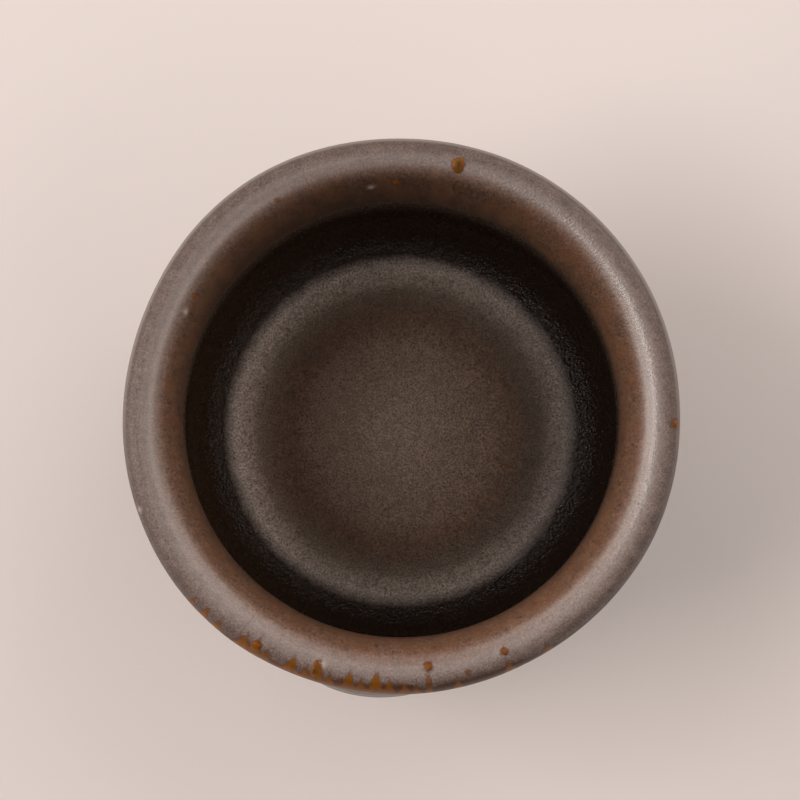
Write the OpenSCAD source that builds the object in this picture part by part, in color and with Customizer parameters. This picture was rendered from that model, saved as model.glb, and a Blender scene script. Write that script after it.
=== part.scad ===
// Guinomi sake cup: a thrown stoneware bowl with a thick rolled lip, a luted foot ring and its glaze
// coats. The cup stands on the table at z = 0 with its axis on Z. Every coat is laid on the clay along
// the clay's own outline, so clay and glaze, and one coat and the next, share their faces exactly.

/* [Bowl] */
// Height of the bare clay cup, from the table to the crest of the lip
cup_h = 48; // [42:0.5:70]
// Thickness of the clay floor in the middle of the well
floor_t = 5.5; // [3:0.25:8]
// Inside diameter of the clay where the well is widest
well_d = 52.2; // [40:0.2:64]
// Height of the curve that joins the floor of the well to its wall
floor_curve_h = 13; // [8:0.5:15]
// Squareness of that curve: 2 is a quarter ellipse and more is flatter in the middle
floor_squareness = 2.8; // [2:0.1:5]

/* [Lip] */
// Inside diameter of the clay at the throat, the narrowest level under the lip
throat_d = 50.8; // [39:0.2:63]
// Depth of the throat below the crest of the lip
throat_depth = 11.5; // [8:0.25:14]
// Width of the lip's inner slope, from the throat out to the crest
lip_in_w = 4.3; // [2.5:0.1:6]
// Squareness of the inner slope: 2 is a quarter ellipse and more is flatter at the crest, steeper below
lip_squareness = 2.8; // [2:0.1:4]
// Width of the lip's outer roll, from the crest out to its edge
lip_out_w = 1.35; // [1:0.05:3]
// Depth of the lip's outer edge below the crest
lip_out_h = 3; // [2:0.1:5]

/* [Outside] */
// Thickness of the wall at the waist, just under the lip
waist_t = 3.6; // [2.4:0.1:5]
// Depth of the waist below the crest
waist_depth = 10; // [8:0.25:14]
// Thickness of the wall at the belly
belly_t = 4; // [2.6:0.1:6]
// Depth of the belly below the crest
belly_depth = 24; // [18:0.5:28]

/* [Foot] */
// Outside diameter of the foot ring where it meets the bowl
foot_d = 34; // [26:0.5:42]
// Height of the foot ring
foot_h = 5; // [3:0.25:8]
// Width of the foot ring's wall where it meets the bowl
foot_w = 3.8; // [2.6:0.1:6]
// How much each side of the foot ring leans in towards the table
foot_lean = 0.4; // [0.1:0.05:0.6]
// Radius of the foot ring's rounded edges on the table
foot_edge_r = 0.7; // [0.3:0.05:0.8]
// Flat ledge of the bowl that shows round the foot ring
foot_ledge = 0.8; // [0.4:0.1:2]

/* [Glaze] */
// Thickness of the inner coat on the wall and over the crest
inner_t = 0.4; // [0.2:0.05:0.8]
// Extra thickness where the inner coat pools in the middle of the floor
pool_t = 0.4; // [0:0.05:1]
// Diameter of that pool
pool_d = 36; // [20:0.5:38]
// Thickness of the amber band where it is thinnest, on the lip's edge
edge_t = 0.28; // [0.15:0.01:0.6]
// How far the amber band reaches above the lip's edge
edge_up = 1.2; // [0.5:0.1:1.8]
// How far the amber band reaches below the lip's edge
edge_down = 1.8; // [0.5:0.1:3]
// Thickness of the outer coat
outer_t = 0.4; // [0.2:0.05:0.8]
// Extra thickness of the rolled hem at the coat's lower edge
hem_t = 0.6; // [0.1:0.05:1]
// Height of the rolled hem
hem_h = 2.6; // [1.2:0.1:4]
// Bare clay left between the hem and the underside of the bowl
bare_h = 2.6; // [1.5:0.1:5]

/* [Glaze run] */
// Direction of the run round the cup, from +X towards +Y
run_turn = -96; // [-180:1:180]
// Width of the run's full round shape, most of which lies behind the wall
run_d = 20; // [12:0.5:26]
// Thickness of the run over the outer coat where it is fullest
run_t = 2.5; // [1:0.1:3]
// Length of the run down the wall
run_h = 18; // [12:0.5:24]
// Depth of the run's upper end below the crest
run_top = 2.4; // [1.5:0.1:5]
// Droop of the run: 1 is even and more is fuller towards its lower end
run_droop = 1.4; // [1:0.05:2]

/* [Amber beads] */
// Width of the largest amber bead on the lip
bead_w = 1.6; // [0.8:0.05:2.4]
// How far that bead stands up from the glaze
bead_proud = 0.42; // [0.2:0.01:0.6]

/* [Hidden] */
$fn = 120;

clay_colour = "#4a3a30";
well_colour = "#2b2019";
amber_colour = "#8a4a12";
coat_colour = "#57504a";

// Facets that a bead is drawn with, and steps in each stretch of the outline
bead_facets = 30;
curve_steps = 26;
wall_steps = 8;
lip_steps = 20;
hem_steps = 7;

// Each bead: turn round the cup in degrees, share of the way from the crest to the seam, share of size.
// A share below 0 lies on the inner slope.
bead_shares = [
    [77, -0.1, 1], [-2, 0.5, 0.6], [-66.5, -0.05, 0.6],
    [-84, -0.15, 0.65], [-108, 0, 0.75], [-122, 0.35, 0.9]
];

// Levels and radii of the bare clay
throat_r = throat_d / 2;
well_r = well_d / 2;
crest_r = throat_r + lip_in_w;
edge_r = crest_r + lip_out_w;
waist_r = throat_r + waist_t;
belly_r = well_r + belly_t;
seat_r = foot_d / 2 + foot_ledge;
floor_z = foot_h + floor_t;
wall_z = floor_z + floor_curve_h;
throat_z = cup_h - throat_depth;
edge_z = cup_h - lip_out_h;
waist_z = cup_h - waist_depth;
belly_z = cup_h - belly_depth;
belly_h = belly_z - foot_h;
hem_z = foot_h + bare_h;
hem_top_z = hem_z + hem_h;

// A value that leaves a and reaches b without a corner as s goes from 0 to 1
function eased(a, b, s) = a + (b - a) * (1 - cos(180 * s)) / 2;

// Radius of the clay's outside at level z below the lip's edge: eased in to the waist and out to the
// belly, and then a quarter ellipse in to the seat
function outside_r(z) =
    z > waist_z ? eased(edge_r, waist_r, (edge_z - z) / (edge_z - waist_z)) :
    z > belly_z ? eased(waist_r, belly_r, (waist_z - z) / (waist_z - belly_z)) :
    seat_r + (belly_r - seat_r) * sqrt(max(0, 1 - pow((belly_z - z) / belly_h, 2)));

// Stretches of the clay's outline as [radius, level], from the middle of the well's floor outwards
well_curve = [
    for (i = [0:curve_steps])
        let (u = 90 * i / curve_steps)
        [
            well_r * pow(sin(u), 2 / floor_squareness),
            wall_z - floor_curve_h * pow(cos(u), 2 / floor_squareness)
        ]
];
well_wall = [
    for (i = [1:wall_steps])
        let (s = i / wall_steps)
        [eased(well_r, throat_r, s), wall_z + (throat_z - wall_z) * s]
];
lip_in = [
    for (i = [1:lip_steps])
        let (u = 90 * i / lip_steps)
        [
            crest_r - lip_in_w * pow(cos(u), 2 / lip_squareness),
            throat_z + throat_depth * pow(sin(u), 2 / lip_squareness)
        ]
];
seam_turn = asin(min(1, edge_up / lip_out_h));
lip_out = [
    for (i = [1:lip_steps])
        let (u = 90 + (seam_turn - 90) * i / lip_steps)
        [crest_r + lip_out_w * cos(u), edge_z + lip_out_h * sin(u)]
];
lip_edge = [
    for (i = [1:hem_steps])
        let (u = seam_turn * (1 - i / hem_steps))
        [crest_r + lip_out_w * cos(u), edge_z + lip_out_h * sin(u)]
];
neck_edge = [
    for (i = [1:hem_steps])
        let (z = edge_z - edge_down * i / hem_steps)
        [outside_r(z), z]
];
neck = [
    for (i = [1:wall_steps])
        let (z = edge_z - edge_down - (waist_depth - lip_out_h - edge_down) * i / wall_steps)
        [outside_r(z), z]
];
belly = [
    for (i = [1:wall_steps])
        let (z = waist_z - (belly_depth - waist_depth) * i / wall_steps)
        [outside_r(z), z]
];
hem_turn = asin((belly_z - hem_top_z) / belly_h);
under = [
    for (i = [1:lip_steps])
        let (z = belly_z - belly_h * sin(hem_turn * i / lip_steps))
        [outside_r(z), z]
];
hem = [
    for (i = [1:hem_steps])
        let (z = hem_top_z - hem_h * i / hem_steps)
        [outside_r(z), z]
];
bare_turn = asin((belly_z - hem_z) / belly_h);
bare = [
    for (i = [1:hem_steps])
        let (z = belly_z - belly_h * sin(bare_turn + (90 - bare_turn) * i / hem_steps))
        [outside_r(z), z]
];
clay = concat(
    well_curve, well_wall, lip_in, lip_out, lip_edge, neck_edge, neck, belly, under, hem, bare
);

// Places in the outline where a coat begins or ends
at_throat = len(well_curve) + len(well_wall) - 1;
at_crest = at_throat + len(lip_in);
at_seam = at_crest + len(lip_out);
at_coat = at_seam + len(lip_edge) + len(neck_edge);
at_hem = at_coat + len(neck) + len(belly) + len(under);
at_bare = at_hem + len(hem);

// Unit vector out of the clay at place i: square to the line between the two neighbouring points
function out_of(i) =
    i == 0 ? [0, 1] :
    let (t = clay[min(i + 1, len(clay) - 1)] - clay[i - 1])
    [-t[1], t[0]] / norm(t);

// Share of the way through the amber band at place i, and the band's thickness there
function band_share(i) = (i - at_seam) / (at_coat - at_seam);
function band_at(i) =
    eased(inner_t, outer_t, band_share(i)) - (max(inner_t, outer_t) - edge_t) * sin(180 * band_share(i));

// Extra glaze in the pool at place i: a cosine mound over the pool's diameter
function pool_at(i) = i > curve_steps ? 0 : pool_t * pow(cos(90 * min(1, 2 * clay[i][0] / pool_d)), 2);

// Extra glaze of the hem, and its round lower end, at place i
function hem_share(i) = (at_bare - i) / (at_bare - at_hem);
function hem_at(i) =
    (outer_t + hem_t * sin(180 * hem_share(i))) * sqrt(1 - pow(1 - hem_share(i), 2));

// Thickness of the glaze at place i
function coat_t(i) =
    i <= at_seam ? inner_t + pool_at(i) :
    i <= at_coat ? band_at(i) :
    i <= at_hem ? outer_t :
    i <= at_bare ? hem_at(i) :
    0;

// Glazed surface at place i
function glazed(i) = clay[i] + coat_t(i) * out_of(i);

// One coat of glaze between two places of the outline, turned round the axis
module coat(first, last) {
    top = [for (i = [last:-1:first]) if (coat_t(i) > 0) glazed(i)];
    rotate_extrude() polygon(concat([for (i = [first:last]) clay[i]], top));
}

// The glazed cup with its well filled in, from one place of the outline outwards, which a piece is seated on
module filled_cup(first) {
    rotate_extrude() polygon(concat(
        [[0, glazed(first)[1]]],
        [for (i = [first:len(clay) - 1]) glazed(i)],
        [[0, foot_h]]
    ));
}

module clay_bowl() {
    color(clay_colour) rotate_extrude() polygon(concat(clay, [[0, foot_h]]));
}

// The foot ring's wall leans in on both sides and has round edges on the table
module foot_ring() {
    outer_r = foot_d / 2;
    inner_r = outer_r - foot_w;
    inner_edge = [
        for (i = [0:hem_steps])
            let (u = 180 + 90 * i / hem_steps)
            [inner_r + foot_lean + foot_edge_r * (1 + cos(u)), foot_edge_r * (1 + sin(u))]
    ];
    outer_edge = [
        for (i = [0:hem_steps])
            let (u = 270 + 90 * i / hem_steps)
            [outer_r - foot_lean - foot_edge_r * (1 - cos(u)), foot_edge_r * (1 + sin(u))]
    ];
    color(clay_colour) rotate_extrude()
        polygon(concat([[inner_r, foot_h]], inner_edge, outer_edge, [[outer_r, foot_h]]));
}

module inner_glaze() {
    color(well_colour) coat(0, at_seam);
}

module edge_glaze() {
    color(amber_colour) coat(at_seam, at_coat);
}

module outer_glaze() {
    color(coat_colour) coat(at_coat, at_bare);
}

// The run follows the wall at a thickness that swells downwards. It is turned about an upright axis
// behind the wall, with its ends sunk by the coat's thickness, and the cup is taken from it.
module glaze_run() {
    axis_r = waist_r + outer_t + run_t - run_d / 2;
    top_z = cup_h - run_top;
    profile = [
        for (i = [0:curve_steps])
            let (s = i / curve_steps, z = top_z - run_h * s)
            [outside_r(z) + (run_t + outer_t) * sin(180 * pow(s, run_droop)) - axis_r, z]
    ];
    color(coat_colour) difference() {
        rotate([0, 0, run_turn]) translate([axis_r, 0, 0])
            rotate_extrude() polygon(concat([[0, top_z]], profile, [[0, top_z - run_h]]));
        filled_cup(at_crest);
    }
}

// Each bead is a low cap of a ball seated on the glaze of the lip
module amber_beads() {
    color(amber_colour) for (b = bead_shares) {
        w = bead_w * b[2];
        p = bead_proud * b[2];
        ball_r = (w * w / 4 + p * p) / (2 * p);
        at = at_crest + round(lip_steps * b[1]);
        centre = glazed(at) + (p - ball_r) * out_of(at);
        difference() {
            rotate([0, 0, b[0]]) translate([centre[0], 0, centre[1]]) sphere(ball_r, $fn = bead_facets);
            filled_cup(at_throat);
        }
    }
}

clay_bowl();
foot_ring();
inner_glaze();
edge_glaze();
outer_glaze();
glaze_run();
amber_beads();
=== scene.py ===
import bpy
import numpy as np
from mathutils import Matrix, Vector


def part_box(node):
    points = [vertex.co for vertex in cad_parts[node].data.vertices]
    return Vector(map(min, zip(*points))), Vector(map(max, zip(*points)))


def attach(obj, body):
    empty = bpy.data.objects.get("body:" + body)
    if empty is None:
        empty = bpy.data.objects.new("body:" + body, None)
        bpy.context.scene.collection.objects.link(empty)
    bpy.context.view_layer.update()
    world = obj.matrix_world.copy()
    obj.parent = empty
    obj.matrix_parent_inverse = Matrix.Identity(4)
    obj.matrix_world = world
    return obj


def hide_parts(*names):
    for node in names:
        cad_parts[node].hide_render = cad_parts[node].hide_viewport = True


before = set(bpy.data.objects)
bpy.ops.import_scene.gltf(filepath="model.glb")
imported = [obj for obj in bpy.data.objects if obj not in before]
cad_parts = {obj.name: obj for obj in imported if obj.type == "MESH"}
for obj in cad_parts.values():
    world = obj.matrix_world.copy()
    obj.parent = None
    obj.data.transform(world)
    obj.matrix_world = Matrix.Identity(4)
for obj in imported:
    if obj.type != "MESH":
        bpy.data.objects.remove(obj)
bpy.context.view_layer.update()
mm = 0.001  # every size below is in millimetres, and the meshes are in metres
print("sake cup: frame loaded")


def cornersOf(node):
    low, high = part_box(node)
    return np.array(low) / mm, np.array(high) / mm


bowlLow, bowlHigh = cornersOf("clay_bowl")
footRadius = cornersOf("foot_ring")[1][0]
hemLevel = cornersOf("outer_glaze")[0][2]

cup = {
    "top": bowlHigh[2], "underside": bowlLow[2], "edgeRadius": bowlHigh[0],
    "floorThickness": 5.5, "wellRadius": 26.1, "floorCurve": 13, "floorSquareness": 2.8,
    "throatRadius": 25.4, "throatDepth": 11.5, "lipOut": 1.35, "lipSquareness": 2.8, "lipDrop": 3,
    "waistRadius": 29, "waistDepth": 10, "bellyRadius": 30.1, "bellyDepth": 24,
    "footLedge": 0.8, "bandUp": 1.2, "bandDown": 1.8, "hemLevel": hemLevel, "hemHeight": 2.6,
}
coats = {
    "inner": 0.4, "pool": 0.4, "poolRadius": 18, "band": 0.28, "outer": 0.4, "hem": 0.6,
    "back": 0.02,  # how far a coat's hidden face is sunk into the clay
}
handwork = {
    # the rim's waves are a scratch fit to the lip's outer edge in the photograph, rounded
    "rimWaves": [(2, 0.06, 90), (3, 0.14, -30), (4, 0.09, 160), (5, 0.07, -105), (7, 0.04, 155)],
    "crestWaves": [(2, 0.12, 40), (3, 0.06, 200), (5, 0.03, 75)],
    "outsideWaves": [(2, 0.16, 70), (3, 0.08, -50)],
    "rimFade": 9, "crestFade": 5,  # how far below the edge coat these waves die out
    "ringPitch": 3.4, "ringDepth": 0.1,
    # the rings are deep in some places and faint in others: a noise, stretched down the wall and round it
    "patchSize": 4.5, "patchDown": 0.45, "patchRound": 9,
    "patchMiddle": 0.65, "patchDepth": 0.6, "patchSeed": 4,
    "peelSize": 1.5, "peelDepth": 0.009, "peelSeed": 11,
    "swellSize": 6.5, "swellDepth": 0.035, "swellSeed": 12,
    "hemWaves": [(1, 0.5, 250), (2, 0.45, 30), (3, 0.35, 170), (5, 0.22, 60), (9, 0.12, 10)],
    "hemFade": 6,
}
columnCount = 640
sharpFold = 50  # degrees; a steeper fold is shaded as an edge


def eased(a, b, share):  # leaves a and reaches b without a corner
    return a + (b - a) * (1 - np.cos(np.pi * share)) / 2


def smooth(low, high, value):  # 0 below low, 1 above high, and an S curve between
    t = np.clip((value - low) / (high - low), 0, 1)
    return t * t * (3 - 2 * t)


def hashed(cell, seed):  # a settled random number, 0 to 1, for each cell of a cubic lattice
    n = cell[..., 0] * 73856093 ^ cell[..., 1] * 19349663 ^ cell[..., 2] * 83492791 ^ (seed * 2654435)
    n = (n ^ (n >> 13)) * 1274126177 & 0x7FFFFFFF
    return ((n ^ (n >> 11)) & 0xFFFF) / 0xFFFF


def softNoise(points, size, seed):
    # value noise, -1 to 1: the eight corners of each cell are blended along an S curve on every axis
    place = points / size
    cell = np.floor(place).astype(np.int64)
    t = place - cell
    t = t * t * (3 - 2 * t)
    total = np.zeros(points.shape[:-1])
    for corner in np.ndindex(2, 2, 2):
        weight = np.prod(np.where(corner, t, 1 - t), axis=-1)
        total += weight * hashed(cell + np.array(corner), seed)
    return 2 * total - 1


def waves(angle, terms):  # sum of cosines, each an (order, height, turn in degrees)
    return sum(height * np.cos(order * angle - np.radians(turn)) for order, height, turn in terms)


def placed(radius, angle, level):  # points from radius, angle and level
    return np.stack(np.broadcast_arrays(radius * np.cos(angle), radius * np.sin(angle), level), axis=-1)


# The clay's outline, from the middle of the well's floor over the lip and down to the underside. The floor's
# curve and the lip's inner side are quarters of superellipses, the lip's outer side is a quarter of an
# ellipse, the wall, the neck and the belly ease along a cosine, and a quarter ellipse runs in to the foot.
def outsideRadius(level):
    edgeLevel = cup["top"] - cup["lipDrop"]
    waistLevel, bellyLevel = cup["top"] - cup["waistDepth"], cup["top"] - cup["bellyDepth"]
    seat = footRadius + cup["footLedge"]
    neck = eased(cup["edgeRadius"], cup["waistRadius"], (edgeLevel - level) / (edgeLevel - waistLevel))
    belly = eased(cup["waistRadius"], cup["bellyRadius"], (waistLevel - level) / (waistLevel - bellyLevel))
    fall = np.clip((bellyLevel - level) / (bellyLevel - cup["underside"]), 0, 1)
    under = seat + (cup["bellyRadius"] - seat) * np.sqrt(1 - fall**2)
    return np.where(level > waistLevel, neck, np.where(level > bellyLevel, belly, under))


def clayOutline(steps=700):
    s = np.linspace(0, 1, steps)
    floorLevel = cup["underside"] + cup["floorThickness"]
    wallLevel = floorLevel + cup["floorCurve"]
    throatLevel = cup["top"] - cup["throatDepth"]
    edgeLevel = cup["top"] - cup["lipDrop"]
    crestRadius = cup["edgeRadius"] - cup["lipOut"]
    seamTurn = np.arcsin(cup["bandUp"] / cup["lipDrop"])
    power = 2 / cup["floorSquareness"]
    u = s**2 * np.pi / 2
    curve = (cup["wellRadius"] * np.sin(u) ** power, wallLevel - cup["floorCurve"] * np.cos(u) ** power)
    wall = (eased(cup["wellRadius"], cup["throatRadius"], s), wallLevel + (throatLevel - wallLevel) * s)
    u = s * np.pi / 2
    power = 2 / cup["lipSquareness"]
    lipIn = (crestRadius - (crestRadius - cup["throatRadius"]) * np.cos(u) ** power,
             throatLevel + cup["throatDepth"] * np.sin(u) ** power)
    u = np.pi / 2 + (seamTurn - np.pi / 2) * s
    lipOut = (crestRadius + cup["lipOut"] * np.cos(u), edgeLevel + cup["lipDrop"] * np.sin(u))
    u = seamTurn * (1 - s)
    lipEdge = (crestRadius + cup["lipOut"] * np.cos(u), edgeLevel + cup["lipDrop"] * np.sin(u))
    levels = [edgeLevel, edgeLevel - cup["bandDown"], cup["hemLevel"] + cup["hemHeight"], cup["hemLevel"]]
    falls = [(outsideRadius(a + (b - a) * s), a + (b - a) * s) for a, b in zip(levels, levels[1:])]
    bellyLevel = cup["top"] - cup["bellyDepth"]
    bellyHeight = bellyLevel - cup["underside"]
    hemTurn = np.arcsin((bellyLevel - cup["hemLevel"]) / bellyHeight)
    bareLevel = bellyLevel - bellyHeight * np.sin(hemTurn + (np.pi / 2 - hemTurn) * s)
    bare = (outsideRadius(bareLevel), bareLevel)
    base = (outsideRadius(cup["underside"] + 0 * s[:1]) * (1 - s), cup["underside"] + 0 * s)
    names = ["curve", "throat", "crest", "seam", "edge", "coat", "hemTop", "hem", "corner", "middle"]
    stretches = [curve, wall, lipIn, lipOut, lipEdge] + falls + [bare, base]
    radius = np.concatenate([stretches[0][0]] + [a[0][1:] for a in stretches[1:]])
    level = np.concatenate([stretches[0][1]] + [a[1][1:] for a in stretches[1:]])
    station = np.concatenate([[0], np.cumsum(np.hypot(np.diff(radius), np.diff(level)))])
    ends = np.cumsum([steps] + [steps - 1] * (len(stretches) - 1)) - 1
    marks = dict(zip(names, station[ends]))
    return radius, level, station, marks


lineRadius, lineLevel, lineStation, mark = clayOutline()
lineOutR = -np.gradient(lineLevel, lineStation)
lineOutZ = np.gradient(lineRadius, lineStation)
lineOutR, lineOutZ = lineOutR / np.hypot(lineOutR, lineOutZ), lineOutZ / np.hypot(lineOutR, lineOutZ)


# Thickness of the glaze: a pool on the floor that falls off as a squared cosine, an even coat up the wall, a
# band that is thinner by a sine, and a hem that swells by a sine and rounds off as a quarter circle
def coatThickness(station):
    radius = np.interp(station, lineStation, lineRadius)
    pool = coats["pool"] * np.cos(np.pi / 2 * np.clip(radius / coats["poolRadius"], 0, 1)) ** 2
    inner = coats["inner"] + pool * (station < mark["curve"])
    share = np.clip((station - mark["seam"]) / (mark["coat"] - mark["seam"]), 0, 1)
    thickest = max(coats["inner"], coats["outer"])
    band = eased(coats["inner"], coats["outer"], share) - (thickest - coats["band"]) * np.sin(np.pi * share)
    q = np.clip((mark["hem"] - station) / (mark["hem"] - mark["hemTop"]), 0, 1)
    hem = (coats["outer"] + coats["hem"] * np.sin(np.pi * q)) * np.sqrt(1 - (1 - q) ** 2)
    outer = np.where(station < mark["hemTop"], coats["outer"], hem)
    return np.where(station < mark["seam"], inner, np.where(station < mark["coat"], band, outer))


def ringTurns(station, angle):  # turns of the throwing spiral down to this place on the outside
    return (station - mark["coat"]) / handwork["ringPitch"] - angle / (2 * np.pi)


# Clay or glaze surface at a station along the outline and an angle round the axis, in millimetres.
# The potter's marks move it: waves of the rim, crest and wall, and a spiral of throwing rings.
def cupSurface(station, angle, coat=0, peel=0):
    radius, level, outR, outZ = [
        np.interp(station, lineStation, line) for line in (lineRadius, lineLevel, lineOutR, lineOutZ)
    ]
    rimEnd, crestEnd = mark["coat"] + handwork["rimFade"], mark["coat"] + handwork["crestFade"]
    rimShare = smooth(mark["throat"], mark["seam"], station) * (1 - smooth(mark["coat"], rimEnd, station))
    crestShare = smooth(mark["throat"], mark["crest"], station)
    crestShare = crestShare * (1 - smooth(mark["edge"], crestEnd, station))
    wallShare = smooth(mark["coat"], rimEnd, station) * (1 - smooth(mark["hemTop"], mark["corner"], station))
    patches = np.roll(placed(handwork["patchRound"], angle, station * handwork["patchDown"]), 1, axis=-1)
    uneven = softNoise(patches, handwork["patchSize"], handwork["patchSeed"]) * handwork["patchDepth"]
    uneven = uneven + handwork["patchMiddle"]
    rings = handwork["ringDepth"] * wallShare * np.sin(2 * np.pi * ringTurns(station, angle)) * uneven
    radius = radius + rimShare * waves(angle, handwork["rimWaves"])
    radius = radius + wallShare * waves(angle, handwork["outsideWaves"])
    level = level + crestShare * waves(angle, handwork["crestWaves"])
    out = rings + coat
    if peel:
        points = placed(radius, angle, level)
        small = softNoise(points, handwork["peelSize"], handwork["peelSeed"]) * handwork["peelDepth"]
        large = softNoise(points, handwork["swellSize"], handwork["swellSeed"]) * handwork["swellDepth"]
        out = out + peel * (small + large)
    return placed(radius + out * outR, angle, level + out * outZ)


def addObject(name, data):
    thing = bpy.data.objects.new(name, data)
    bpy.context.scene.collection.objects.link(thing)
    return thing


# Puts a grid of points in a closed mesh. Each row goes once round. With poles, the first and the last row
# are one point each, and without them the last row is joined to the first.
def closedShell(name, points, poles, fields=None):
    rows, columns = points.shape[:2]
    index = np.arange(rows * columns).reshape(rows, columns)
    if poles:
        index[0], index[-1] = index[0, 0], index[-1, 0]
    here, below = (index[:-1], index[1:]) if poles else (index, np.roll(index, -1, axis=0))
    kept, quads = np.unique(
        np.stack([here, np.roll(here, -1, axis=1), np.roll(below, -1, axis=1), below], axis=-1),
        return_inverse=True,
    )
    quads = quads.reshape(-1, 4)
    places = points.reshape(-1, 3)[kept] * mm
    a, b, c, d = (places[quads[:, k]] for k in range(4))
    volume = np.einsum("ij,ij->", a, np.cross(b, c)) + np.einsum("ij,ij->", a, np.cross(c, d))
    if volume < 0:  # the faces look inwards
        quads = quads[:, ::-1]
    faces = [list(dict.fromkeys(face)) for face in quads.tolist()]  # a pole's faces have three corners
    mesh = bpy.data.meshes.new(name)
    mesh.from_pydata(places.tolist(), [], faces)
    for field, values in (fields or {}).items():
        layer = mesh.attributes.new(field, "FLOAT", "POINT")
        spread = np.broadcast_to(values, (rows, columns)).ravel()[kept]
        layer.data.foreach_set("value", spread.astype(np.float32))
    mesh.polygons.foreach_set("use_smooth", np.ones(len(faces), bool))
    mesh.set_sharp_from_angle(angle=np.radians(sharpFold))
    mesh.update()
    return addObject(name, mesh)


def dress(piece, node, material):
    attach(piece, "root")
    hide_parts(node)
    piece.data.materials.append(material)
    print("sake cup:", piece.name, len(piece.data.vertices), "points")


# Shader maths: a wire is a socket's output, and sums on wires add Math nodes
class Wire:
    def __init__(self, finish, socket):
        self.finish, self.socket = finish, socket

    def maths(self, operation, *others):
        return self.finish.node("Math", {"operation": operation}, dict(enumerate((self,) + others)))

    def __add__(self, other):
        return self.maths("ADD", other)

    def __sub__(self, other):
        return self.maths("SUBTRACT", other)

    def __rsub__(self, other):
        return self.finish.node("Math", {"operation": "SUBTRACT"}, {0: other, 1: self})

    def __mul__(self, other):
        return self.maths("MULTIPLY", other)

    __radd__ = __add__
    __rmul__ = __mul__


class Finish:
    def __init__(self, name, run=1):  # run: how much longer each blotch is downwards than across
        self.material = bpy.data.materials.new(name)
        self.material.use_nodes = True
        self.tree = self.material.node_tree
        self.tree.nodes.clear()
        self.object = self.node("TexCoord", output="Object")
        drawn = {0: self.object, 1: (1, 1, 1 / run)}
        self.place = self.node("VectorMath", {"operation": "MULTIPLY"}, drawn)

    def node(self, kind, settings=None, inputs=None, output=0):
        made = self.tree.nodes.new("ShaderNode" + kind)
        for key, value in (settings or {}).items():
            if key == "stops":
                self.fillRamp(made.color_ramp, value)
            else:
                setattr(made, key, value)
        for key, value in (inputs or {}).items():
            if isinstance(value, Wire):
                self.tree.links.new(value.socket, made.inputs[key])
            else:
                made.inputs[key].default_value = value
        return Wire(self, made.outputs[output]) if made.outputs else made

    def fillRamp(self, ramp, stops):
        while len(ramp.elements) < len(stops):
            ramp.elements.new(0.5)
        for element, (place, colour) in zip(ramp.elements, stops):
            element.position = place
            element.color = colour + (1,)

    def ramp(self, value, stops):
        return self.node("ValToRGB", {"stops": stops}, {"Fac": value})

    def field(self, name):
        return self.node("Attribute", {"attribute_name": name}, output="Fac")

    def noise(self, size, detail=2.0, roughness=0.5):  # size in millimetres, of about one blotch
        inputs = {"Vector": self.place, "Scale": 1 / (size * mm), "Detail": detail, "Roughness": roughness}
        return self.node("TexNoise", {}, inputs, "Fac")

    def spread(self, depth, *noise):  # a noise about zero, from minus to plus half the depth
        return (self.noise(*noise) - 0.5) * depth

    def axis(self, name):  # place along X, Y or Z in millimetres
        return self.node("SeparateXYZ", {}, {"Vector": self.object}, name) * (1 / mm)

    def step(self, value, low, high):  # 0 at low, 1 at high and beyond
        inputs = {"Value": value, "From Min": low, "From Max": high}
        return self.node("MapRange", {"interpolation_type": "SMOOTHSTEP"}, inputs)

    def blotches(self, noise, edges):  # 1 inside the blotches of a noise and 0 between them
        return self.step(self.noise(*noise), *edges)

    def mix(self, share, a, b):
        asColour = {6: a, 7: b}
        asColour = {k: v if isinstance(v, Wire) else tuple(v) + (1,) for k, v in asColour.items()}
        return self.node("Mix", {"data_type": "RGBA"}, {0: share, **asColour}, 2)

    def shade(self, colour, amount):  # a colour made lighter or darker by a number
        return self.node("VectorMath", {"operation": "SCALE"}, {0: colour, "Scale": amount})

    def bump(self, height, depth):
        return self.node("Bump", {}, {"Height": height, "Distance": depth * mm, "Strength": 1.0})

    def shader(self, **inputs):
        words = {key.replace("_", " "): value for key, value in inputs.items()}
        return self.node("BsdfPrincipled", {}, words)

    def blend(self, share, a, b):
        return self.node("MixShader", {}, {0: share, 1: a, 2: b})

    def surface(self, shader):
        self.node("OutputMaterial", {}, {"Surface": shader})
        return self.material


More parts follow.
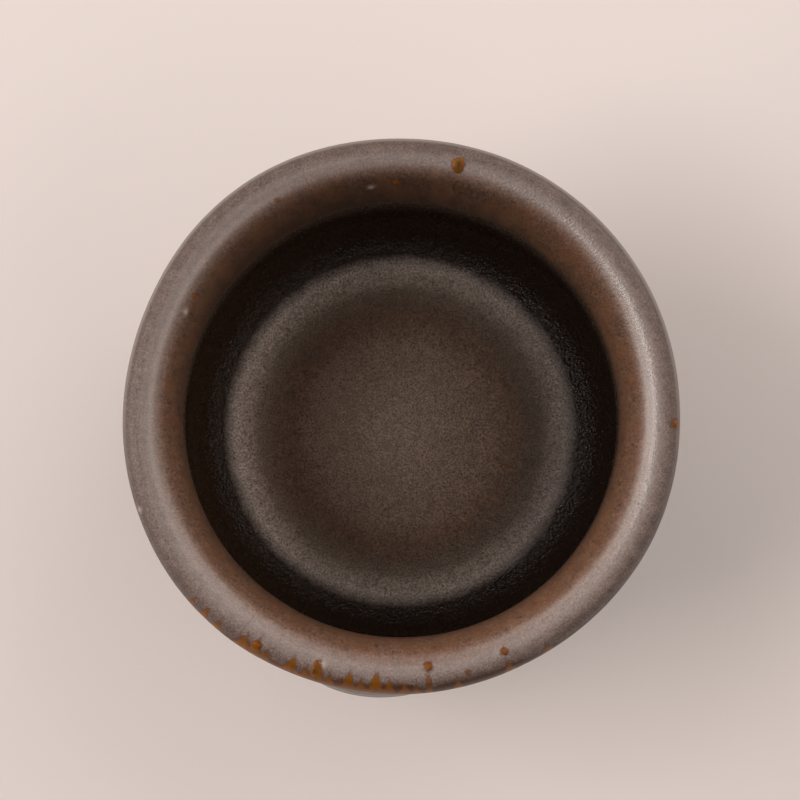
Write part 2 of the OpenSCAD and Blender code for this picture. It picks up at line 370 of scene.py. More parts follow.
# The amber line on the lip's edge: teeth that reach up over the roll, drips down the outside, and spots
amberMarks = {
    # the line is broad on one side and falls off to the other; its two edges ripple
    "turnOfStrongSide": -90, "falling": 3, "lineRadius": 30.42, "belowEdgeFarSide": 0.5, "lineFade": 0.3,
    "ripples": [(13, 0.15, 20), (29, 0.105, 80), (47, 0.075, 10)],
    "bottomFarSide": 0.2, "bottomStrongSide": 0.8, "bottomRipple": 2,
    # turn in degrees, radius that the tip reaches in the view from above, half width at the foot
    "teeth": [(-138, 30.5, 0.9), (-134.5, 30.1, 1.1), (-130.9, 30.2, 1.3), (-124.6, 29.6, 1.5),
              (-121.9, 29.3, 1.8), (-119.2, 29.9, 1.4), (-113.5, 29.4, 1.9), (-110.4, 29.9, 1.2),
              (-107.9, 28.9, 1.7), (-105.2, 30, 1.6), (-101, 29.3, 1.7), (-98.4, 29.8, 1.3),
              (-95.3, 28.9, 1.6), (-92.5, 29.6, 1.5), (-89.2, 29.9, 1.4), (-86.8, 30.2, 1.1),
              (-84.1, 28.6, 0.65), (-78, 30.3, 1.1), (-66.8, 30, 1.1), (-58, 30.5, 1.1)],
    "toothBend": 0.8, "tipSlope": 0.5, "tailLeast": 1.2, "tailMore": 1.8, "tailTurn": 2.4,
    # turn in degrees, radius in the view from above, size
    "spots": [(77, 28.69, 0.7), (-83.8, 28.33, 0.5), (-66.5, 29.0, 0.42), (-2.1, 30.71, 0.6),
              (91.3, 26.29, 0.45), (46.4, 25.2, 0.3), (150, 26.9, 0.3), (120, 27.5, 0.25),
              (-75.5, 29.9, 0.22)],
    # turn in degrees, length down the outside, half width
    "drips": [(-151, 3.2, 0.7), (-141, 2.4, 0.9), (-126, 6, 0.8), (-118, 3.6, 1), (-106, 3, 0.8),
              (-84, 4.5, 0.9), (-70, 6.5, 0.7), (-52, 3.2, 1), (-21, 2.6, 0.9), (24, 3.4, 0.6),
              (78, 4.4, 0.8), (112, 2.8, 0.7), (119, 3.4, 0.9), (166, 3.8, 0.6)],
    "dripSag": 1.4, "dripRoundness": 0.8, "dripTrim": 0.1,
    "deepest": 0.42,  # of the teeth and the drips
    "range": (-1, 3), "lipReach": 12,
}


def turnBetween(angle, degrees):  # angle from a direction, between minus and plus half a turn
    return (angle - np.radians(degrees) + np.pi) % (2 * np.pi) - np.pi


glazedRadius = lineRadius + coatThickness(lineStation) * lineOutR


def lipStation(radius):  # station on the lip where the glazed outline has this radius
    lip = (lineStation >= mark["throat"]) & (lineStation <= mark["edge"])
    return np.interp(radius, glazedRadius[lip], lineStation[lip])


def onLip(station):
    return np.abs(station - mark["crest"]) < amberMarks["lipReach"]


def distanceOnLip(station, angle, turn, radius):  # from the place with this turn and radius
    return np.hypot(turnBetween(angle, turn) * radius, station - lipStation(radius))


# About how far a place lies inside the amber, and inside its teeth, spots and drips alone, in millimetres.
# Both are below zero outside. A tooth is a triangle with its foot on the lip's edge and its sides bent out a
# little, and below the edge it narrows again to a short tail.
def amberFields(station, angle):
    strong = (0.5 + 0.5 * np.cos(turnBetween(angle, amberMarks["turnOfStrongSide"]))) ** amberMarks["falling"]
    ripple = waves(angle, amberMarks["ripples"])
    farTop = mark["edge"] + amberMarks["belowEdgeFarSide"]
    top = farTop + (lipStation(amberMarks["lineRadius"]) - farTop) * strong + ripple
    bottom = mark["coat"] + amberMarks["bottomFarSide"] + amberMarks["bottomStrongSide"] * strong
    bottom = bottom + amberMarks["bottomRipple"] * ripple
    line = np.minimum(station - top, (bottom - station) * amberMarks["lineFade"])
    outside = amberMarks["range"][0]
    marks = np.full(line.shape, float(outside))
    foot = mark["edge"]
    for number, (turn, radius, half) in enumerate(amberMarks["teeth"]):
        across = np.abs(turnBetween(angle, turn)) * radius
        down = station - lipStation(radius)
        share = np.clip(down / (foot - lipStation(radius)), 0, 1)
        tail = amberMarks["tailLeast"] + amberMarks["tailMore"] * np.sin(amberMarks["tailTurn"] * number) ** 2
        left = np.sqrt(np.clip(1 - (station - foot) / tail, 0, 1))
        inside = half * share ** amberMarks["toothBend"] * left - across
        inside = np.minimum(inside, amberMarks["tipSlope"] * down)
        marks = np.maximum(marks, np.where(station < foot + tail, inside, outside))
    for turn, length, half in amberMarks["drips"]:
        across = np.abs(turnBetween(angle, turn)) * cup["edgeRadius"] / half
        below = np.clip((station - foot) / length, 0, 1) ** amberMarks["dripSag"]
        inside = half * (np.sin(np.pi * below) ** amberMarks["dripRoundness"] - across)
        marks = np.maximum(marks, inside - amberMarks["dripTrim"])
    marks = np.minimum(marks, amberMarks["deepest"])
    for turn, radius, size in amberMarks["spots"]:
        inside = size - distanceOnLip(station, angle, turn, radius)
        marks = np.maximum(marks, np.where(onLip(station), inside, outside))
    return {"amber": np.clip(np.maximum(line, marks), *amberMarks["range"]),
            "gold": np.clip(marks, *amberMarks["range"])}


def stationsFrom(*stops):  # (station, rows to the next one) pairs, the last with no rows
    parts = [np.linspace(a[0], b[0], a[1], endpoint=False) for a, b in zip(stops, stops[1:])]
    return np.append(np.concatenate(parts), stops[-1][0])[:, None]


around = np.linspace(0, 2 * np.pi, columnCount, endpoint=False)[None, :]

pimples = {  # small blisters under the glaze: turn in degrees, radius in the view from above
    "places": [(-107.2, 29.28), (97.4, 26), (154.6, 26.9), (-159.8, 30.9)],
    "size": 0.34, "height": 0.1,
}


def pimpleHeight(station, angle):
    height = 0 * (station + angle)
    for turn, radius in pimples["places"]:
        away = distanceOnLip(station, angle, turn, radius) / pimples["size"]
        height = height + np.where(onLip(station), np.exp(-away ** 2), 0)
    return height


wallRowsFrom = 9  # the wider rows of the wall start this far before the end of the floor's curve


# Each coat is a closed section turned about the axis: along its outside, and back just inside the clay.
# The blisters are bell-shaped bumps on the outside.
def makeInnerGlaze():
    front = stationsFrom(
        (0, 40), (mark["curve"] - wallRowsFrom, 16), (mark["throat"], 44), (mark["crest"], 18),
        (mark["seam"], 0))
    back = stationsFrom((mark["seam"], 10), (mark["throat"], 8), (0, 0))
    blisters = pimpleHeight(front, around)
    coat = coatThickness(front) + pimples["height"] * blisters
    points = np.concatenate([
        cupSurface(front, around, coat, 1),
        cupSurface(back, around, -coats["back"]),
    ])
    stations = np.concatenate([front, back])
    fields = amberFields(stations, around)
    fields["along"] = stations / mark["seam"]
    fields["pale"] = np.concatenate([blisters, 0 * (back + around)])
    piece = closedShell("innerGlaze", points, True, fields)
    dress(piece, "inner_glaze", innerFinish())


def makeEdgeGlaze():
    front = stationsFrom((mark["seam"], 10), (mark["edge"], 12), (mark["coat"], 0))
    back = front[::-2]
    points = np.concatenate([
        cupSurface(front, around, coatThickness(front), 1),
        cupSurface(back, around, -coats["back"]),
    ])
    stations = np.concatenate([front, back])
    piece = closedShell("edgeGlaze", points, False, amberFields(stations, around))
    dress(piece, "edge_glaze", edgeFinish())


def hemShift(station, angle):  # the coat's lower edge wanders up and down the wall
    share = smooth(mark["coat"] + handwork["hemFade"], mark["hem"], station)
    return share * waves(angle, handwork["hemWaves"])


def makeOuterGlaze():
    front = stationsFrom((mark["coat"], 84), (mark["hemTop"], 22), (mark["hem"], 0))
    back = stationsFrom((mark["hem"], 4), (mark["hemTop"], 12), (mark["coat"], 0))
    points = np.concatenate([
        cupSurface(front + hemShift(front, around), around, coatThickness(front), 1),
        cupSurface(back + hemShift(back, around), around, -coats["back"]),
    ])
    stations = np.concatenate([front, back])
    fields = amberFields(stations, around)
    fields["ridge"] = np.sin(2 * np.pi * ringTurns(stations, around))
    piece = closedShell("outerGlaze", points, False, fields)
    dress(piece, "outer_glaze", outerFinish())


bareClay = {"spiralPitch": 2.3, "spiralDepth": 0.1, "nubHeight": 0.35, "nubRadius": 2.4,
            "grainSize": 0.55, "grainDepth": 0.025, "grainSeed": 21,
            "scrapeSize": 3.2, "scrapeDepth": 0.06, "scrapeSeed": 22,
            "fade": 1, "recessInset": 3}


def sandyGrain(points):
    fine = softNoise(points, bareClay["grainSize"], bareClay["grainSeed"]) * bareClay["grainDepth"]
    scrape = softNoise(points, bareClay["scrapeSize"], bareClay["scrapeSeed"]) * bareClay["scrapeDepth"]
    return fine + scrape


# The bowl is the outline turned about the axis. Under it the knife leaves a spiral, a sine of the radius and
# the turn, and a bell-shaped nub in the middle.
def makeClayBowl():
    hidden = stationsFrom((0, 12), (mark["throat"], 16), (mark["coat"], 30), (mark["hemTop"], 0))
    shown = stationsFrom((mark["hemTop"], 30), (mark["corner"], 70), (mark["middle"], 0))[1:]
    stations = np.concatenate([hidden, shown])
    points = cupSurface(stations, around)
    radius = np.hypot(points[..., 0], points[..., 1])
    bare = smooth(mark["hemTop"], mark["hem"] - bareClay["fade"], stations)
    underneath = smooth(mark["corner"], mark["corner"] + bareClay["fade"], stations)
    recess = underneath * (radius < footRadius - bareClay["recessInset"])
    turns = radius / bareClay["spiralPitch"] + around / (2 * np.pi)
    spiral = bareClay["spiralDepth"] * np.sin(2 * np.pi * turns) * smooth(0, bareClay["spiralPitch"], radius)
    nub = bareClay["nubHeight"] * np.exp(-(radius / bareClay["nubRadius"]) ** 2)
    grain = sandyGrain(points) * bare
    points[..., 2] += recess * (spiral - nub) + grain * underneath
    points[..., :2] *= (1 + grain * (1 - underneath) / np.maximum(radius, 1))[..., None]
    piece = closedShell("clayBowl", points, True)
    dress(piece, "clay_bowl", clayFinish("bareClayBowl"))


footSizes = {"width": 3.8, "lean": 0.4, "edge": 0.7, "sink": 0.15, "topFade": 1,
             "waves": [(2, 0.1, 130), (3, 0.07, 20), (6, 0.04, 250)],
             "edgeRows": 9, "sideRows": 22, "lidRows": 4, "columns": 480}


# The ring's section is turned about the axis: two leaning sides, a flat to rest on, quarter circles between
# them, and a lid inside the bowl. Its waves die out at the flat and at the bowl.
def makeFootRing():
    outer, inner = footRadius, footRadius - footSizes["width"]
    turn = np.linspace(0, np.pi / 2, footSizes["edgeRows"])
    rise = np.linspace(0, 1, footSizes["sideRows"])
    edge, lean = footSizes["edge"], footSizes["lean"]
    top = cup["underside"] + footSizes["sink"]
    sideIn = (inner + lean * rise, top + (edge - top) * rise)
    roundIn = (inner + lean + edge * (1 - np.cos(turn)), edge * (1 - np.sin(turn)))
    flat = (np.linspace(inner + lean + edge, outer - lean - edge, footSizes["edgeRows"]), 0 * turn)
    roundOut = (outer - lean - edge * (1 - np.sin(turn)), edge * (1 - np.cos(turn)))
    sideOut = (outer - lean * (1 - rise), edge + (top - edge) * rise)
    lid = np.linspace(outer, inner, footSizes["lidRows"] + 2)[1:-1]
    parts = [sideIn] + [(a[0][1:], a[1][1:]) for a in (roundIn, flat, roundOut, sideOut)]
    parts = parts + [(lid, 0 * lid + top)]
    radius = np.concatenate([a[0] for a in parts])[:, None]
    level = np.concatenate([a[1] for a in parts])[:, None]
    columns = np.linspace(0, 2 * np.pi, footSizes["columns"], endpoint=False)[None, :]
    trimmed = smooth(0, edge, level) * (1 - smooth(top - footSizes["topFade"], top, level))
    moved = radius + trimmed * waves(columns, footSizes["waves"])
    points = placed(moved, columns, level)
    grain = sandyGrain(points) * trimmed
    points[..., :2] *= (1 + grain / moved)[..., None]
    piece = closedShell("footRing", points, False)
    dress(piece, "foot_ring", clayFinish("bareClayFoot"))


run = {"turn": -96, "halfWidth": 8.8, "top": 45.4, "bottom": 27.8, "thickness": 2.6, "droop": 1.4,
       "taper": 0.3, "skew": -0.12, "roundness": 0.6, "sink": 0.06, "aboveEdge": 1,
       "rings": 44, "columns": 160}
tiny = 1e-9  # keeps a division off zero


# The run is a drop on a disc: up and down the disc is down the wall, and across it is round the wall. Its
# thickness is a sine along its length, drawn towards the lower end, times a round section across.
def makeGlazeRun():
    share = np.sin(np.linspace(0, np.pi / 2, run["rings"]))[:, None]
    turn = np.linspace(0, 2 * np.pi, run["columns"], endpoint=False)[None, :]
    across, along = share * np.cos(turn), share * np.sin(turn)
    level = (run["top"] + run["bottom"]) / 2 + (run["top"] - run["bottom"]) / 2 * along
    fall = (1 - along) / 2
    width = run["halfWidth"] * (1 - run["taper"] * along)
    edge = np.sqrt(np.maximum(1 - along**2, tiny))
    section = np.clip(1 - (across / edge) ** 2, 0, 1) ** run["roundness"]
    skewed = 1 + run["skew"] * across
    thick = run["thickness"] * np.sin(np.pi * np.clip(fall, 0, 1) ** run["droop"]) * section * skewed
    angle = np.radians(run["turn"]) + width * across / cup["waistRadius"]
    wall = (lineStation >= mark["edge"] - run["aboveEdge"]) & (lineStation <= mark["hem"])
    station = np.interp(-level, -lineLevel[wall], lineStation[wall])
    base = cupSurface(station, angle, coatThickness(station))
    outwards = placed(1, angle, 0 * angle)
    front = base + (thick - run["sink"])[..., None] * outwards
    back = base[::-1] - 2 * run["sink"] * outwards[::-1]
    fields = {key: np.concatenate([v, v[::-1]]) for key, v in amberFields(station, angle).items()}
    fields["thick"] = np.concatenate([thick, 0 * thick])
    piece = closedShell("glazeRun", np.concatenate([front, back]), True, fields)
    dress(piece, "glaze_run", runFinish())


beads = {
    # turn in degrees, radius in the view from above, width, length down the roll, height
    "places": [(77, 28.69, 1.35, 1.8, 0.38), (-2.1, 30.71, 0.9, 0.95, 0.22), (-66.5, 29.0, 0.75, 0.95, 0.2),
               (-83.8, 28.33, 0.95, 1.0, 0.2), (-108.6, 29.9, 0.9, 1.7, 0.2), (-121.9, 30.35, 1.5, 1.1, 0.2)],
    "darkness": [0.9, 0.3, 0.15, 0.2, 0.6, 0.3],  # of each bead's core
    "uneven": [(2, 0.084, 40), (3, 0.07, 110)],  # waves of the outline, turned by this much for each bead
    "dome": 0.75, "rings": 14, "columns": 40, "sink": 0.05,
}


# A bead is a disc on the lip with a wavy outline, raised by a power of one less the share squared
def makeAmberBeads():
    share = np.sin(np.linspace(0, np.pi / 2, beads["rings"]))[:, None]
    turn = np.linspace(0, 2 * np.pi, beads["columns"], endpoint=False)[None, :]
    drops = []
    for number, (degrees, radius, wide, long, high) in enumerate(beads["places"]):
        wavy = 1 + waves(turn, [(order, height, shift * number) for order, height, shift in beads["uneven"]])
        across = wide / 2 * share * wavy * np.cos(turn)
        station = lipStation(radius) + long / 2 * share * wavy * np.sin(turn)
        angle = np.radians(degrees) + across / radius
        dome = high * (1 - share**2) ** beads["dome"] + 0 * turn - beads["sink"]
        front = cupSurface(station, angle, coatThickness(station) + dome)
        back = cupSurface(station, angle, coatThickness(station) - 2 * beads["sink"])[::-1]
        name = "amberBead" + str(number + 1)
        depth = (1 - share + 0 * turn) * beads["darkness"][number]
        depth = np.concatenate([depth, depth[::-1]])
        drops.append(closedShell(name, np.concatenate([front, back]), True, {"amber": depth}))
    finish = beadFinish()
    for drop in drops:
        dress(drop, "amber_beads", finish)


# Finishes. Colours are linear. In the looks below, a noise is (size of a blotch in millimetres, detail,
# roughness), and edges are where a step on it starts and ends.
glazeColours = {
    "rust": (0.11, 0.032, 0.01), "rustDark": (0.065, 0.025, 0.012), "rustDeep": (0.06, 0.024, 0.013),
    "orange": (0.19, 0.063, 0.003), "olive": (0.1, 0.045, 0.005), "deep": (0.085, 0.03, 0.008),
    # rim is a painted highlight: the pale line of grazing reflection on the lip's outer limb
    "rim": (0.21, 0.175, 0.155), "pale": (0.42, 0.36, 0.32), "patch": (0.14, 0.058, 0.027),
    "clay": (0.085, 0.06, 0.047), "clayWarm": (0.12, 0.07, 0.045), "clayIron": (0.03, 0.018, 0.012),
    "coat": (0.085, 0.064, 0.052), "coatGrey": (0.125, 0.1, 0.087), "coatBrown": (0.1, 0.05, 0.028),
    "run": (0.12, 0.105, 0.085),
}


def coloured(stops):  # a ramp's stops, with each colour's name in place of the colour
    return [(place, glazeColours[name]) for place, name in stops]


# A scratch program fitted these colours to levels of the photograph. Three are still what it gave, four are
# within 0.004 of it, nine were changed by hand after renders, and three were added by hand.
zones = {  # radius in the view from above, colour
    # painted light in these colours: the bright ring at 18.8 to 20.3 is partly the glaze's colour and partly
    # a painted reflection of the lit lip, and the near-black stops at 21.9 and 24.8 are painted shade on the
    # steep wall under the throat
    "well": [(0, (0.208, 0.142, 0.107)), (7, (0.174, 0.113, 0.078)), (11, (0.158, 0.094, 0.062)),
             (14, (0.105, 0.05, 0.025)), (15.8, (0.1, 0.053, 0.031)), (17.4, (0.135, 0.09, 0.065)),
             (18.8, (0.265, 0.198, 0.163)), (20.3, (0.35, 0.28, 0.243)), (21.9, (0.016, 0.007, 0.003))],
    "lip": [(24.8, (0.035, 0.017, 0.008)), (25.1, (0.085, 0.04, 0.021)), (25.6, (0.12, 0.061, 0.035)),
            (26.5, (0.125, 0.067, 0.043)), (27.2, (0.147, 0.083, 0.058)), (28.3, (0.145, 0.09, 0.07)),
            (29, (0.16, 0.113, 0.096)), (29.6, (0.17, 0.127, 0.112)), (30.2, (0.123, 0.086, 0.074)),
            (30.8, (0.095, 0.067, 0.057))],
}


def wellPlace(radius):  # share of the way to the seam at which the well's floor has this radius
    floor = lineStation <= mark["curve"]
    return np.interp(radius, lineRadius[floor], lineStation[floor]) / mark["seam"]


def lipPlace(radius):  # the same for the lip
    return lipStation(radius) / mark["seam"]


amberLook = {
    "fray": (0.35, 3), "frayDepth": 0.7, "edges": (-0.28, 0.22), "roughness": 0.35, "specular": 0.12,
    # the rust is darker to the right, from and to these places in millimetres, and in some blotches
    "drift": (4, 2), "driftDepth": 20, "darkFrom": -14, "darkTo": 4,
    "deep": (1.3, 4, 0.6), "deepEdges": (0.42, 0.62),
    "gold": [(0, "rust"), (0.15, "orange"), (0.55, "orange"), (0.95, "olive")], "goldEdges": (-0.25, 0.15),
    "olive": (0.9, 4, 0.6), "oliveEdges": (0.42, 0.68), "oliveShare": 0.6,
}


# The iron glaze, and over it the amber, where the coat has run thin: a glass of its own with a softer shine
def withAmber(finish, iron, normal):
    look = amberLook
    fray = finish.spread(look["frayDepth"], *look["fray"])
    sideways = finish.axis("X") + finish.spread(look["driftDepth"], *look["drift"])
    dark = finish.step(sideways, look["darkFrom"], look["darkTo"])
    rust = finish.mix(dark, glazeColours["rust"], glazeColours["rustDark"])
    rust = finish.mix(finish.blotches(look["deep"], look["deepEdges"]), rust, glazeColours["rustDeep"])
    inside = finish.field("gold") + fray
    gold = finish.ramp(inside, coloured(look["gold"]))
    olive = finish.blotches(look["olive"], look["oliveEdges"]) * look["oliveShare"]
    gold = finish.mix(olive, gold, glazeColours["olive"])
    amber = finish.mix(finish.step(inside, *look["goldEdges"]), rust, gold)
    glass = finish.shader(
        Base_Color=amber, Roughness=look["roughness"], Specular_IOR_Level=look["specular"], Normal=normal)
    share = finish.step(finish.field("amber") + fray, *look["edges"])
    return finish.surface(finish.blend(share, iron, glass))


ironLook = {
    "drawn": 6, "drift": (2.2, 3), "driftDepth": 0.013, "lipFade": 0.08,
    "grain": (0.23, 2, 0.6), "grainDepth": 3.2, "grainLessOnLip": 1.2,
    "mottle": (1.6, 3), "fineMottle": (0.75, 2), "mottleDepth": 0.5,
    # painted light and shade: changes of the colour for each millimetre from the axis, to the right and to
    # the near side, after the way the light falls
    "ringRadii": (13, 17), "ringShadeRight": 0.02, "ringShadeNear": 0.002,
    "crestRadii": (26.5, 28), "lipLightNear": 0.009, "crestLessLightNear": 0.006,
    "specks": (0.4, 2, 0.6), "speckEdges": (0.56, 0.7), "speckShare": 0.45,
    "farSidePaintedShade": (-20, -27), "farShade": 0.3,
    "patches": (2.4, 4), "patchEdges": (0.44, 0.62), "patchShare": 0.45, "patchFade": 0.08,
    # painted highlight on the lip's outer limb: its radii, its side and its share
    "highlightRadii": (30.7, 31), "highlightSide": (12, -10), "highlightShare": 0.7, "paleShare": 0.8,
    "leather": (0.3, 2, 0.6), "leatherLessOnLip": 0.88,
    "wrinkles": (0.75, 2), "wrinkleShare": 0.6, "wrinkleLessOnLip": 0.52, "bump": 0.3,
    "roughness": 0.22, "wear": (0.5, 2), "wearDepth": 0.08, "rougherLip": 0.13, "rougherOutside": 0.06,
    # the well, the crest and the roll shine in different degrees, and blend between these radii
    "refraction": (1.5, 2.3, 1.33), "crestFrom": (27, 28.4), "rollFrom": (28.9, 29.7),
}


def innerFinish():
    look = ironLook
    finish = Finish("ironGlaze", look["drawn"])
    along = finish.field("along")
    throat, crest = mark["throat"] / mark["seam"], mark["crest"] / mark["seam"]
    stops = [(wellPlace(radius), zone) for radius, zone in zones["well"]]
    stops += [(lipPlace(radius), zone) for radius, zone in zones["lip"]]
    colour = finish.ramp(along + finish.spread(look["driftDepth"], *look["drift"]), stops)
    rightSide, nearSide = finish.axis("X"), finish.axis("Y") * -1
    lipShare = finish.step(along, throat, throat + look["lipFade"])
    ringShare = finish.step(along, *map(wellPlace, look["ringRadii"])) * (1 - lipShare)
    crestShare = finish.step(along, *map(lipPlace, look["crestRadii"]))
    slopeShare = lipShare * (1 - crestShare)
    grain = 1 + finish.spread(1, *look["grain"]) * (look["grainDepth"] - lipShare * look["grainLessOnLip"])
    mottle = finish.spread(look["mottleDepth"], *look["mottle"])
    mottle = 1 + mottle + finish.spread(look["mottleDepth"], *look["fineMottle"])
    # painted shade: the bright ring in the well is darker to the right and a little to the near side
    ringPaintedShade = 1 - (rightSide * look["ringShadeRight"] + nearSide * look["ringShadeNear"]) * ringShare
    # painted light and shade: the lip is lighter on the near side and darker on the far side, less so on the
    # crest
    lipPaintedLight = 1 + nearSide * (look["lipLightNear"] - crestShare * look["crestLessLightNear"]) * lipShare
    colour = finish.shade(colour, grain * mottle * (lipPaintedLight * ringPaintedShade))
    specks = finish.blotches(look["specks"], look["speckEdges"]) * slopeShare * look["speckShare"]
    # painted shade: the slope between throat and crest is darker on the far side
    farSidePaintedShade = finish.step(nearSide, *look["farSidePaintedShade"]) * slopeShare * look["farShade"]
    colour = finish.shade(colour, (1 - specks) * (1 - farSidePaintedShade))
    brown = finish.blotches(look["patches"], look["patchEdges"]) * look["patchShare"] * lipShare
    brown = brown * (1 - finish.step(along, crest - look["patchFade"], crest))
    colour = finish.mix(brown, colour, glazeColours["patch"])
    # painted highlight: a pale line along the lip's outer limb on the far side, where grazing light reflects
    limbHighlight = finish.step(along, *map(lipPlace, look["highlightRadii"])) * finish.step(nearSide, *look["highlightSide"])
    colour = finish.mix(limbHighlight * look["highlightShare"], colour, glazeColours["rim"])
    colour = finish.mix(finish.field("pale") * look["paleShare"], colour, glazeColours["pale"])
    leather = finish.noise(*look["leather"]) * (1 - lipShare * look["leatherLessOnLip"])
    wrinkles = finish.noise(*look["wrinkles"]) * (look["wrinkleShare"] - lipShare * look["wrinkleLessOnLip"])
    normal = finish.bump(leather + wrinkles, look["bump"])
    roughness = look["roughness"] + finish.noise(*look["wear"]) * look["wearDepth"]
    roughness = roughness + lipShare * look["rougherLip"]
    roughness = roughness + finish.step(along, crest, 1) * look["rougherOutside"]
    well, sheen, roll = (
        finish.shader(Base_Color=colour, Roughness=roughness, Normal=normal, IOR=index)
        for index in look["refraction"])
    iron = finish.blend(finish.step(along, *map(lipPlace, look["crestFrom"])), well, sheen)
    iron = finish.blend(finish.step(along, *map(lipPlace, look["rollFrom"])), iron, roll)
    return withAmber(finish, iron, normal)


def coated(finish, look, colour, height):  # an outside coat, with the amber over it
    roughness = look["roughness"] + finish.noise(*look["wear"]) * look["wearDepth"]
    normal = finish.bump(height, look["bump"])
    return withAmber(finish, finish.shader(Base_Color=colour, Roughness=roughness, Normal=normal), normal)


edgeLook = {"drawn": 3, "mottle": (1.6, 3), "darkest": 0.8, "mottleDepth": 0.4, "relief": (0.4, 2),
            "bump": 0.02, "roughness": 0.3, "wear": (0.5, 2), "wearDepth": 0.12}


def edgeFinish():
    finish = Finish("edgeGlaze", edgeLook["drawn"])
    mottle = edgeLook["darkest"] + finish.noise(*edgeLook["mottle"]) * edgeLook["mottleDepth"]
    colour = finish.shade(glazeColours["coatGrey"], mottle)
    return coated(finish, edgeLook, colour, finish.noise(*edgeLook["relief"]))


coatLook = {
    "grey": (2.6, 6, 0.62), "greyEdges": (0.38, 0.64),
    "thin": (1.9, 5, 0.65), "thinEdges": (0.5, 0.72), "thinShare": 0.6, "ridgeShare": 0.12,
    "spots": (0.55, 3, 0.6), "spotEdges": (0.63, 0.7), "spotShare": 0.7,
    "grain": (0.28, 2, 0.7), "grainDepth": 1.2,
}


def coatColour(finish, ridge=0):  # grey-brown, mottled, with brown where the coat is thin and dark iron spots
    look = coatLook
    colour = finish.mix(
        finish.blotches(look["grey"], look["greyEdges"]), glazeColours["coat"], glazeColours["coatGrey"])
    thin = finish.step(finish.noise(*look["thin"]) + ridge, *look["thinEdges"]) * look["thinShare"]
    colour = finish.mix(thin, colour, glazeColours["coatBrown"])
    spots = finish.blotches(look["spots"], look["spotEdges"]) * look["spotShare"]
    colour = finish.mix(spots, colour, glazeColours["clayIron"])
    return finish.shade(colour, 1 + finish.spread(look["grainDepth"], *look["grain"]))


outerLook = {"drawn": 1.6, "leather": (0.3, 2, 0.6), "leatherShare": 0.5, "wrinkles": (1.1, 2),
             "wrinkleShare": 0.6, "bump": 0.07, "roughness": 0.3, "wear": (0.8, 3), "wearDepth": 0.2}


def outerFinish():
    finish = Finish("coatGlaze", outerLook["drawn"])
    colour = coatColour(finish, finish.field("ridge") * coatLook["ridgeShare"])
    leather = finish.noise(*outerLook["leather"]) * outerLook["leatherShare"]
    wrinkles = finish.noise(*outerLook["wrinkles"]) * outerLook["wrinkleShare"]
    return coated(finish, outerLook, colour, leather + wrinkles)


runLook = {"drawn": 1.6, "thickness": (0.9, 2.6), "thickShare": 0.75, "relief": (0.7, 2), "bump": 0.05,
           "roughness": 0.28, "wear": (0.6, 2), "wearDepth": 0.12}


def runFinish():
    finish = Finish("runGlaze", runLook["drawn"])
    thick = finish.step(finish.field("thick"), *runLook["thickness"]) * runLook["thickShare"]
    colour = finish.mix(thick, coatColour(finish), glazeColours["run"])
    return coated(finish, runLook, colour, finish.noise(*runLook["relief"]))


beadLook = {"cloud": (0.35, 2), "cloudDepth": 0.5, "relief": (0.4, 2), "bump": 0.01,
            "depths": [(0, "rust"), (0.18, "orange"), (0.5, "olive"), (0.85, "deep")],
            "roughness": 0.28, "specular": 0.15}


def beadFinish():
    look = beadLook
    finish = Finish("amberGlaze")
    depth = finish.field("amber") + finish.spread(look["cloudDepth"], *look["cloud"])
    colour = finish.ramp(depth, coloured(look["depths"]))
    normal = finish.bump(finish.noise(*look["relief"]), look["bump"])
    return finish.surface(finish.shader(
        Base_Color=colour, Roughness=look["roughness"], Specular_IOR_Level=look["specular"], Normal=normal))


clayLook = {"patches": (5, 3), "iron": (0.45, 2, 0.7), "ironEdges": (0.64, 0.72), "grain": (0.35, 3, 0.7),
            "darkest": 0.7, "grainDepth": 0.6, "sand": (0.3, 3, 0.7), "wrinkles": (1.2, 2),
            "wrinkleShare": 0.5, "bump": 0.08, "roughness": 0.85}


def clayFinish(name):
    look = clayLook
    finish = Finish(name)
    colour = finish.mix(finish.noise(*look["patches"]), glazeColours["clay"], glazeColours["clayWarm"])
    colour = finish.shade(colour, look["darkest"] + finish.noise(*look["grain"]) * look["grainDepth"])
    colour = finish.mix(finish.blotches(look["iron"], look["ironEdges"]), colour, glazeColours["clayIron"])
    height = finish.noise(*look["sand"]) + finish.noise(*look["wrinkles"]) * look["wrinkleShare"]
    normal = finish.bump(height, look["bump"])
    return finish.surface(finish.shader(Base_Color=colour, Roughness=look["roughness"], Normal=normal))


makeClayBowl()
makeFootRing()
makeInnerGlaze()
makeEdgeGlaze()
makeOuterGlaze()
makeGlazeRun()
makeAmberBeads()
print("sake cup: pieces made")

studio = {
    "floor": (0.735, 0.672, 0.656), "floorHalf": 1500, "floorRoughness": 0.6,
    "ambient": (1.0, 0.95, 0.92), "ambientStrength": 0.03, "backdrop": (0.8, 0.74, 0.7),
}
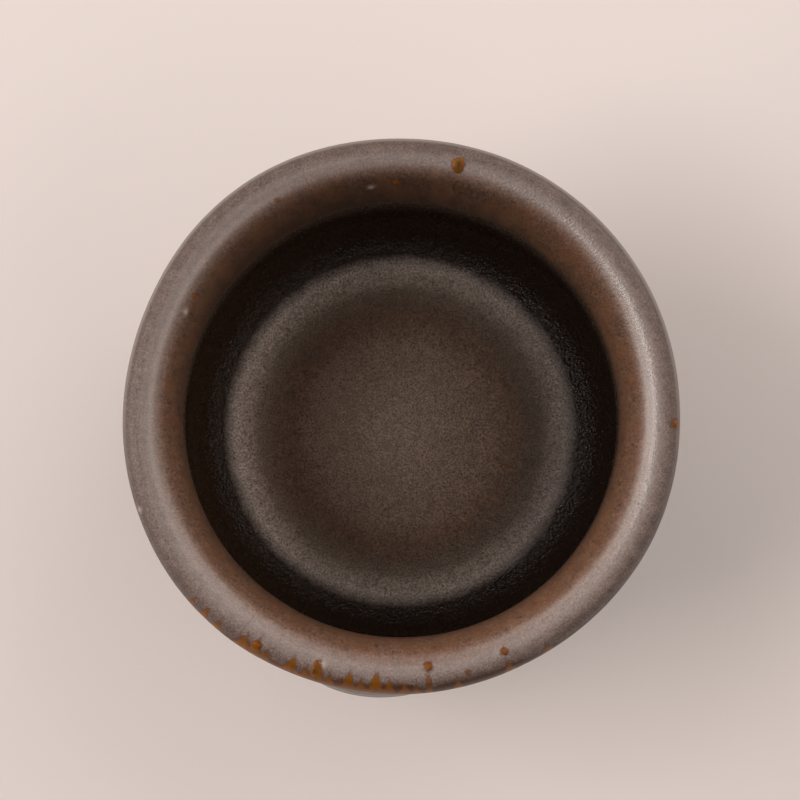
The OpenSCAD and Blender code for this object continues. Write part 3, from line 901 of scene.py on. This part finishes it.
# The same fit gave a strength for each lamp. Six are as it gave them, rounded, and ten were changed.
lamps = {  # azimuth and elevation from the cup, width and height in degrees as seen from it, radiance
    "window": (180, 27, 40, 26, 4.6), "windowFoot": (180, 8, 44, 12, 1.5),
    "upperLeft": (135, 27, 40, 26, 2.5), "upperLeftFoot": (135, 8, 44, 12, 0.6),
    "top": (90, 14, 42, 26, 1.2),
    "upperRight": (45, 14, 42, 26, 3.4), "upperRightHigh": (45, 41, 34, 26, 1.2),
    "right": (0, 8, 44, 12, 2.1), "rightHigh": (0, 48, 31, 36, 1.2),
    "lowerRight": (315, 48, 31, 36, 1.2), "lowerRightFoot": (315, 8, 44, 12, 0.8),
    "lowerLeft": (225, 34, 37, 13, 0.5),
    "overLeft": (180, 61, 29, 15, 6.6), "overTop": (60, 61, 29, 15, 1.8),
    "overUpperLeft": (120, 61, 29, 15, 0.6), "overLow": (240, 61, 29, 15, 0.7),
}
lampColour = (1.0, 0.93, 0.88)
lampDistance = 1000
shot = {"sensor": 36, "widthAtRim": 89.2, "distance": 350, "elevation": 86.2, "aim": (-0.1, 1.5, 48.4),
        "nearest": 10}


def makeFloor():
    half = studio["floorHalf"] * mm
    mesh = bpy.data.meshes.new("floor")
    corners = [(-half, -half, 0), (half, -half, 0), (half, half, 0), (-half, half, 0)]
    mesh.from_pydata(corners, [], [(0, 1, 2, 3)])
    finish = Finish("floorPaint")
    paint = finish.shader(Base_Color=studio["floor"] + (1,), Roughness=studio["floorRoughness"])
    mesh.materials.append(finish.surface(paint))
    addObject("floor", mesh)


def makeWorld():
    world = bpy.data.worlds.new("studio")
    bpy.context.scene.world = world
    world.use_nodes = True
    tree = world.node_tree
    tree.nodes.clear()
    path = tree.nodes.new("ShaderNodeLightPath")
    seen, light = tree.nodes.new("ShaderNodeBackground"), tree.nodes.new("ShaderNodeBackground")
    seen.inputs["Color"].default_value = studio["backdrop"] + (1,)
    light.inputs["Color"].default_value = studio["ambient"] + (1,)
    light.inputs["Strength"].default_value = studio["ambientStrength"]
    mix, out = tree.nodes.new("ShaderNodeMixShader"), tree.nodes.new("ShaderNodeOutputWorld")
    tree.links.new(path.outputs["Is Camera Ray"], mix.inputs[0])
    tree.links.new(light.outputs[0], mix.inputs[1])
    tree.links.new(seen.outputs[0], mix.inputs[2])
    tree.links.new(mix.outputs[0], out.inputs["Surface"])


def facing(azimuth, elevation):  # unit vector towards a direction, azimuth from +X towards +Y
    a, e = np.radians(azimuth), np.radians(elevation)
    return np.array([np.cos(a) * np.cos(e), np.sin(a) * np.cos(e), np.sin(e)])


def aimAtCup(thing, towards, distance, target):
    thing.location = (np.array(target) + towards * distance) * mm
    thing.rotation_euler = Vector(-towards).to_track_quat("-Z", "Y").to_euler()


def makeLamps():
    for name, (azimuth, elevation, width, height, radiance) in lamps.items():
        light = bpy.data.lights.new(name, "AREA")
        light.shape = "RECTANGLE"
        light.size = 2 * lampDistance * mm * np.tan(np.radians(width / 2))
        light.size_y = 2 * lampDistance * mm * np.tan(np.radians(height / 2))
        light.energy = np.pi * light.size * light.size_y * radiance
        light.color = lampColour
        aimAtCup(addObject(name, light), facing(azimuth, elevation), lampDistance, (0, 0, 0))


def makeCamera():
    data = bpy.data.cameras.new("camera")
    data.sensor_width = shot["sensor"]
    data.lens = shot["sensor"] * shot["distance"] / shot["widthAtRim"]
    data.clip_start = shot["nearest"] * mm
    camera = addObject("camera", data)
    aimAtCup(camera, facing(-90, shot["elevation"]), shot["distance"], shot["aim"])
    bpy.context.scene.camera = camera


makeFloor()
makeWorld()
makeLamps()
makeCamera()
bpy.context.scene.view_settings.view_transform = "Standard"
print("sake cup: studio made")
